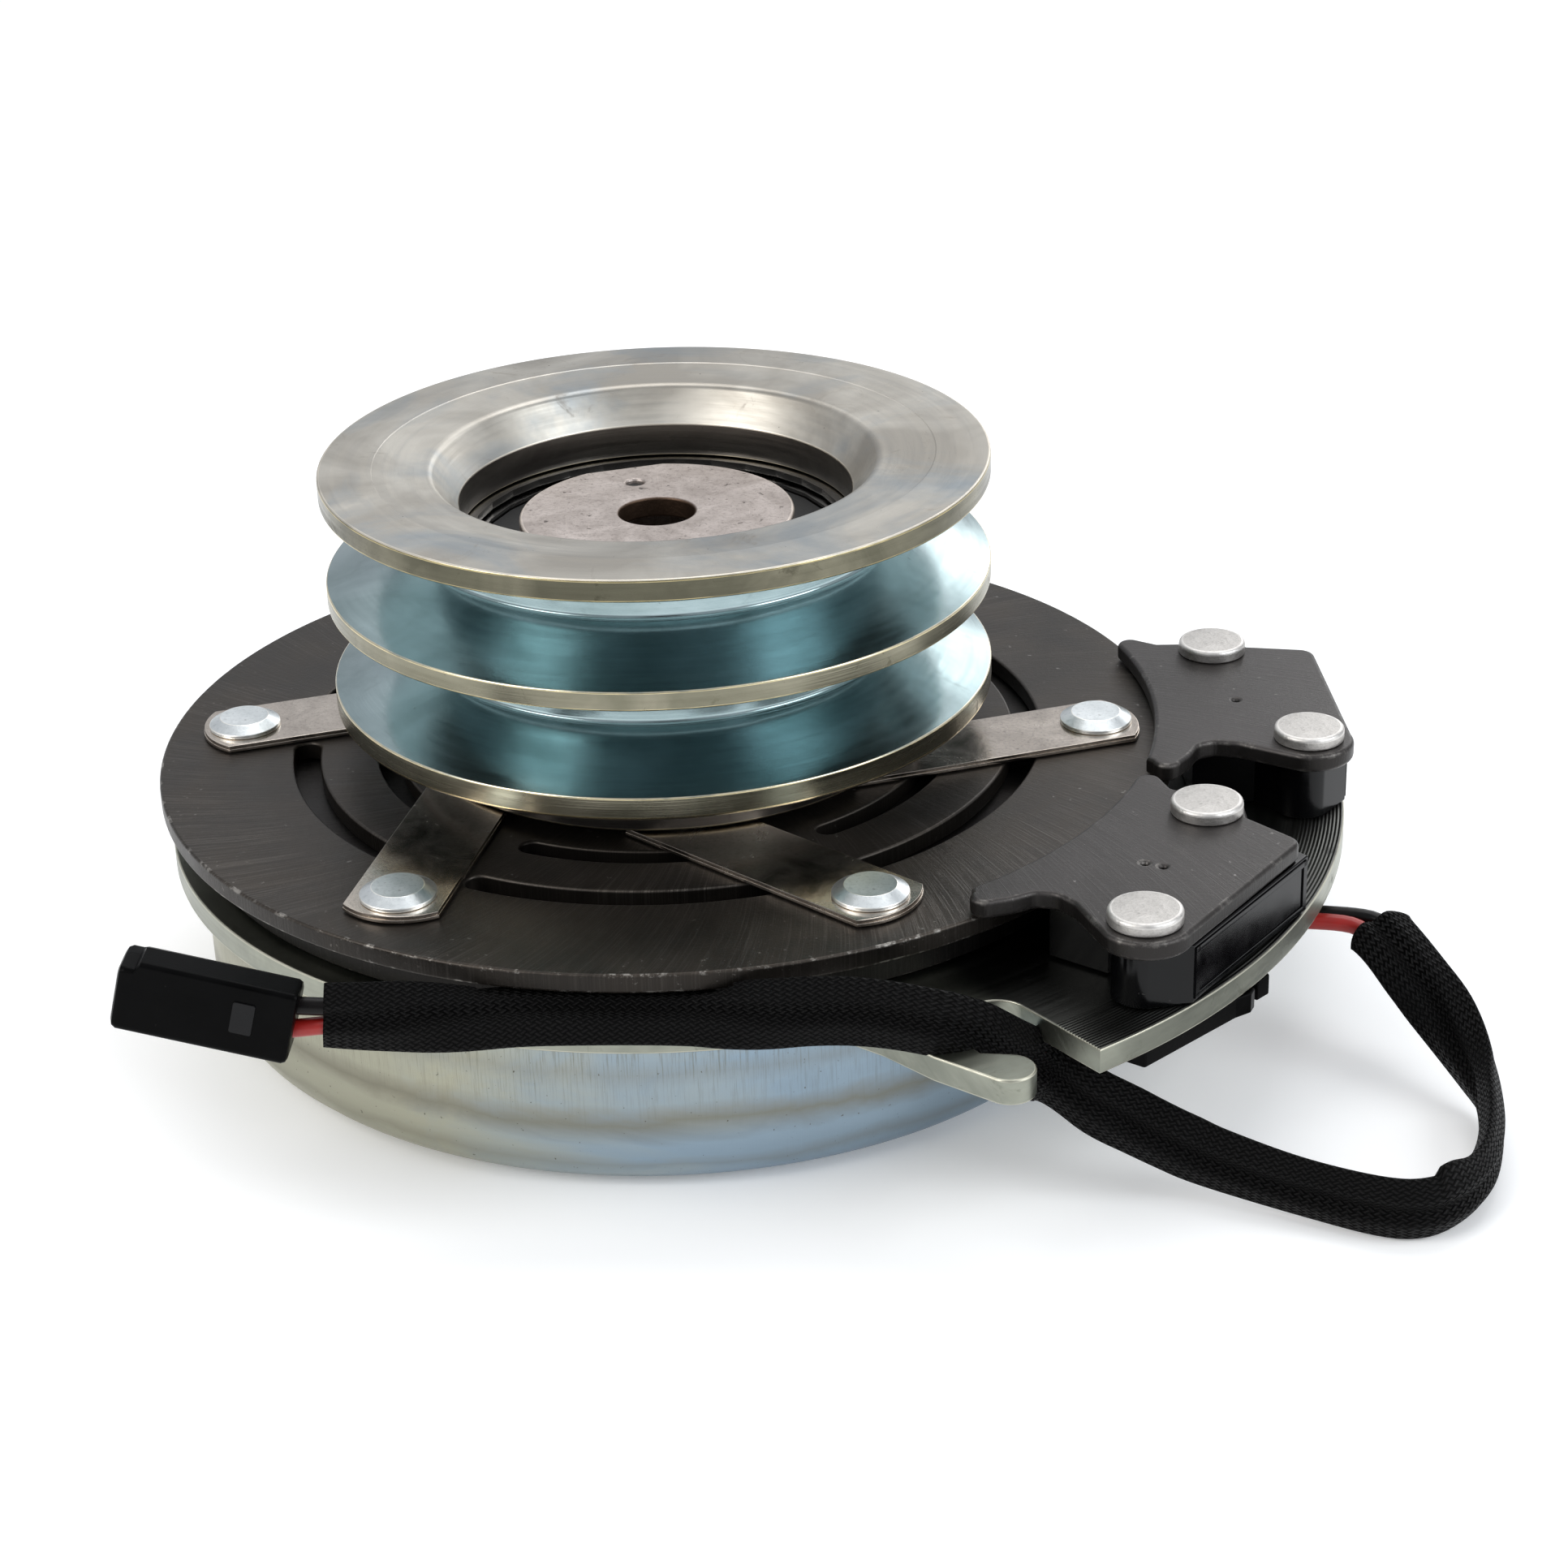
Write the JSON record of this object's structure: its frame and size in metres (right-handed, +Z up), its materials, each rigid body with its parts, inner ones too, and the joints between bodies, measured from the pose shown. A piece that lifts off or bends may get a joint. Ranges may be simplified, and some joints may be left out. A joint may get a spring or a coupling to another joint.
{
  "type": "electromagnetic clutch",
  "caption": "Electromagnetic power take-off clutch with a double-groove belt pulley, spring-mounted armature, brake poles, field coil and a sleeved lead.",
  "frame": {"origin": "middle of the object's footprint at the underside of the field shell; the clutch axis is the vertical line x = -0.0155 m, y = 0", "axes": "+Z up along the clutch axis from the field shell to the pulley; +X from the clutch axis to the midpoint of the two brake poles; +Y completes a right-handed frame"},
  "size_m": [0.2549, 0.2131, 0.1007],
  "materials": {
    "zinc_plate": "satin",
    "zinc_pulley": "satin",
    "bearing_steel": "satin",
    "spring_steel": "satin",
    "dark_steel": "satin",
    "rotor_steel": "satin",
    "sintered_steel": "matte",
    "rivet_zinc": "satin",
    "rivet_bright": "satin",
    "brass": "satin",
    "copper": "satin",
    "gloss_black": "gloss",
    "matte_black": "matte",
    "bobbin_plastic": "matte",
    "ferrite": "matte",
    "rubber": "matte",
    "braid": "matte",
    "red_insulation": "satin",
    "black_insulation": "satin"
  },
  "bodies": {
    "field": {"field_shell": "zinc_plate", "field_plate": "zinc_plate", "lead_grommet": "rubber", "coil_bobbin": "bobbin_plastic", "coil_winding": "copper", "field_bearing_outer_race": "bearing_steel", "field_bearing_ball_cage": "brass", "field_bearing_seal": "rubber", "magnet_block_1": "gloss_black", "magnet_block_2": "gloss_black", "brake_magnet_1": "ferrite", "brake_magnet_2": "ferrite", "brake_pole_1": "dark_steel", "brake_pole_2": "dark_steel", "magnet_retainer_1": "matte_black", "magnet_retainer_2": "matte_black", "brake_rivet_1": "rivet_bright", "brake_rivet_2": "rivet_bright", "brake_rivet_3": "rivet_bright", "brake_rivet_4": "rivet_bright", "lead_wire_red": "red_insulation", "lead_wire_black": "black_insulation", "harness_sleeve": "braid", "plug_wire_red": "red_insulation", "plug_wire_black": "black_insulation", "connector_housing": "matte_black", "connector_seal": "rubber"},
    "rotor": {"rotor_hub": "sintered_steel", "rotor_disc": "rotor_steel", "rotor_outer_pole": "rotor_steel", "rotor_inner_pole": "rotor_steel", "hub_end_disc": "sintered_steel", "hub_spacer": "sintered_steel", "field_bearing_inner_race": "bearing_steel", "pulley_bearing_inner_race": "bearing_steel"},
    "pulley": {"pulley": "zinc_pulley", "pulley_snap_ring": "bearing_steel", "pulley_bearing_outer_race": "bearing_steel", "pulley_bearing_ball_cage": "brass", "pulley_bearing_seal": "rubber", "pulley_rivet_1": "rivet_zinc", "pulley_rivet_2": "rivet_zinc", "pulley_rivet_3": "rivet_zinc", "pulley_rivet_4": "rivet_zinc", "pulley_rivet_5": "rivet_zinc", "pulley_rivet_6": "rivet_zinc"},
    "armature": {"armature_plate": "dark_steel", "armature_rivet_1": "rivet_zinc", "leaf_spring_1": "spring_steel", "armature_rivet_2": "rivet_zinc", "leaf_spring_2": "spring_steel", "armature_rivet_3": "rivet_zinc", "leaf_spring_3": "spring_steel", "armature_rivet_4": "rivet_zinc", "leaf_spring_4": "spring_steel", "armature_rivet_5": "rivet_zinc", "leaf_spring_5": "spring_steel", "armature_rivet_6": "rivet_zinc", "leaf_spring_6": "spring_steel"}
  },
  "joints": [
    {"name": "rotor_spin", "type": "hinge", "parent": "field", "child": "rotor", "pos_m": [-0.0155, 0, 0], "axis": [0, 0, 1], "continuous": true},
    {"name": "pulley_spin", "type": "hinge", "parent": "field", "child": "pulley", "pos_m": [-0.0155, 0, 0.07], "axis": [0, 0, 1], "continuous": true},
    {"name": "armature_slide", "type": "slide", "parent": "pulley", "child": "armature", "axis": [0, 0, 1], "range_m": [-0.0005, 0], "stiffness_N_per_m": 80000, "springref_m": 0.0001, "deforming": ["leaf_spring_1", "leaf_spring_2", "leaf_spring_3", "leaf_spring_4", "leaf_spring_5", "leaf_spring_6"]}
  ]
}
